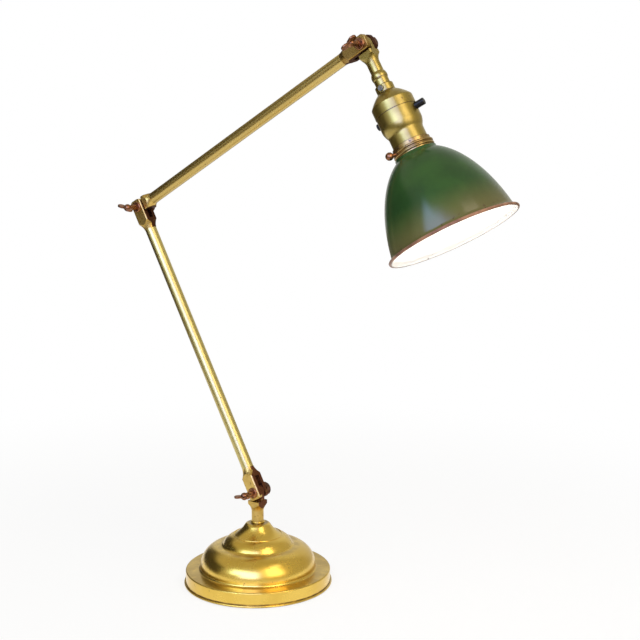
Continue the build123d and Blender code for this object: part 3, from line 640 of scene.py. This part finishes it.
# a pale table in a dim room: the two lights light it, and polish and enamel mirror the room itself
studio = {"fill": 0.52, "shadow": 0.18, "shadowFrom": 0.25, "shadowTo": 0.9, "floorSize": 12,
          "floorTint": (0.95, 0.945, 0.935), "centre": (0, 0, 0.3)}
lights = {
    "window": {"azimuth": 22, "height": 30, "distance": 2.0, "size": (0.8, 0.8), "power": 16,
               "tint": (0.86, 0.93, 1.0)},
    "lamp": {"azimuth": 78, "height": 45, "distance": 1.8, "size": (0.8, 0.8), "power": 13,
             "tint": (1.0, 0.86, 0.66)},
}
room = {"table": 0.75, "floorLevel": 0.004, "floorEdge": 0.02, "radius": 2.6, "height": 2.2, "rise": 0.4,
        "ceiling": 0.9, "hole": 0.02, "steps": 96,
        "wall": (0.50, 0.47, 0.375), "floor": (0.16, 0.14, 0.11)}
# patches of wall: azimuth and half width in degrees, foot and head in metres, each with a soft edge
wallPatches = {
    "paleWall": {"azimuth": -155, "spread": (40, 28), "foot": (0.004, 0.1), "head": (2.6, 2.2),
                 "tint": (0.68, 0.68, 0.63)},
    "darkDoor": {"azimuth": -82, "spread": (46, 34), "foot": (-0.1, 0.0), "head": (2.2, 1.6),
                 "tint": (0.045, 0.04, 0.035)},
    "window": {"azimuth": 21, "spread": (24, 14), "foot": (0.3, 0.6), "head": (2.4, 2.1),
               "tint": (2.35, 2.8, 7.0)},
    "skylight": {"azimuth": -6, "spread": (20, 8), "foot": (0.8, 1.3), "head": (2.34, 2.15),
                 "tint": (3.0, 4.2, 7.4)},
    "lamp": {"azimuth": 74, "spread": (21, 14), "foot": (0.6, 0.9), "head": (2.5, 2.4),
             "tint": (3.4, 3.0, 2.4)},
}


def outward(azimuth, height):
    turn = math.radians(azimuth)
    rise = math.radians(height)
    return Vector((math.sin(turn) * math.cos(rise), -math.cos(turn) * math.cos(rise), math.sin(rise)))


def facing(spot, direction):
    return Matrix.Translation(spot) @ direction.to_track_quat("Z", "Y").to_matrix().to_4x4()


def addLight(name, spec):
    light = bpy.data.lights.new(name, "AREA")
    light.shape = "RECTANGLE"
    light.size, light.size_y = spec["size"]
    light.energy = spec["power"]
    light.color = spec["tint"]
    lamp = bpy.data.objects.new(name, light)
    scene.collection.objects.link(lamp)
    out = outward(spec["azimuth"], spec["height"])
    lamp.matrix_world = facing(Vector(studio["centre"]) + out * spec["distance"], out)
    lamp.visible_camera = False
    lamp.visible_glossy = False


# one where a camera, glossy or transmission ray asks, which is what shows as background
def seenDirectly(tree):
    path = addNode(tree, "LightPath")
    seen = maths(tree, "MAXIMUM", path.outputs["Is Camera Ray"], path.outputs["Is Glossy Ray"])
    return maths(tree, "MAXIMUM", seen, path.outputs["Is Transmission Ray"])


def stagePiece(name, bm, material):
    mesh = bpy.data.meshes.new(name)
    bm.to_mesh(mesh)
    bm.free()
    mesh.materials.append(material)
    piece = bpy.data.objects.new(name, mesh)
    scene.collection.objects.link(piece)
    return piece


def patchShare(tree, at, patch):
    level = vectorMaths(tree, "MULTIPLY", at, (1, 1, 0)).outputs[0]
    level = vectorMaths(tree, "NORMALIZE", level).outputs[0]
    near = vectorMaths(tree, "DOT_PRODUCT", level, outward(patch["azimuth"], 0)).outputs["Value"]
    share = fade(tree, near, *[math.cos(math.radians(angle)) for angle in patch["spread"]])
    for edge in (patch["foot"], patch["head"]):
        share = maths(tree, "MULTIPLY", share, fade(tree, axisDistance(tree, at), *edge))
    return share


def addRoom():
    paper = bpy.data.materials.new("room_wall")
    paper.use_nodes = True
    tree = paper.node_tree
    tree.nodes.clear()
    at = addNode(tree, "TexCoord").outputs["Object"]
    level = room["floorLevel"]
    onFloor = fade(tree, axisDistance(tree, at), level + room["floorEdge"], level)
    tint = mixTint(tree, onFloor, room["wall"], room["floor"])
    for patch in wallPatches.values():
        tint = mixTint(tree, patchShare(tree, at, patch), tint, patch["tint"])
    glow = addNode(tree, "Emission", {"Color": tint})
    paper.cycles.emission_sampling = "NONE"
    addNode(tree, "OutputMaterial", {"Surface": glow.outputs[0]})
    bm = bmesh.new()
    top = room["height"] + room["rise"]
    addOutline(bm, [(room["table"], level), (room["radius"], level), (room["radius"], room["height"]),
                    (room["ceiling"], top), (room["hole"], top)], False)
    spinOutline(bm, room["steps"])
    wall = stagePiece("room", bm, paper)
    wall.visible_camera = False
    wall.visible_diffuse = False
    wall.visible_shadow = False
    wall.visible_transmission = False


def addFloor():
    finish = bpy.data.materials.new("pale_floor")
    finish.use_nodes = True
    tree = finish.node_tree
    tree.nodes.clear()
    at = addNode(tree, "TexCoord").outputs["Object"]
    reach = vectorMaths(tree, "LENGTH", at).outputs["Value"]
    away = fade(tree, reach, studio["shadowFrom"], studio["shadowTo"])
    share = maths(tree, "MULTIPLY_ADD", away, studio["shadow"])
    share.node.inputs[2].default_value = 1 - studio["shadow"]
    paint = addNode(tree, "BsdfDiffuse", {"Color": studio["floorTint"]})
    white = addNode(tree, "Emission")
    mix = addNode(tree, "MixShader", {0: maths(tree, "MULTIPLY", share, seenDirectly(tree)),
                                      1: paint.outputs[0], 2: white.outputs[0]})
    addNode(tree, "OutputMaterial", {"Surface": mix.outputs[0]})
    bm = bmesh.new()
    bmesh.ops.create_grid(bm, size=studio["floorSize"])
    stagePiece("floor", bm, finish)


def addWorld():
    world = bpy.data.worlds.new("studio")
    scene.world = world
    world.use_nodes = True
    tree = world.node_tree
    tree.nodes.clear()
    strength = maths(tree, "MULTIPLY_ADD", seenDirectly(tree), 1 - studio["fill"])
    strength.node.inputs[2].default_value = studio["fill"]
    sky = addNode(tree, "Background", {"Color": (1.0, 1.0, 1.0), "Strength": strength})
    addNode(tree, "OutputWorld", {"Surface": sky.outputs[0]})


addWorld()
addFloor()
for name, spec in lights.items():
    addLight(name, spec)
addRoom()
scene.view_settings.view_transform = "Standard"
print("studio ready")
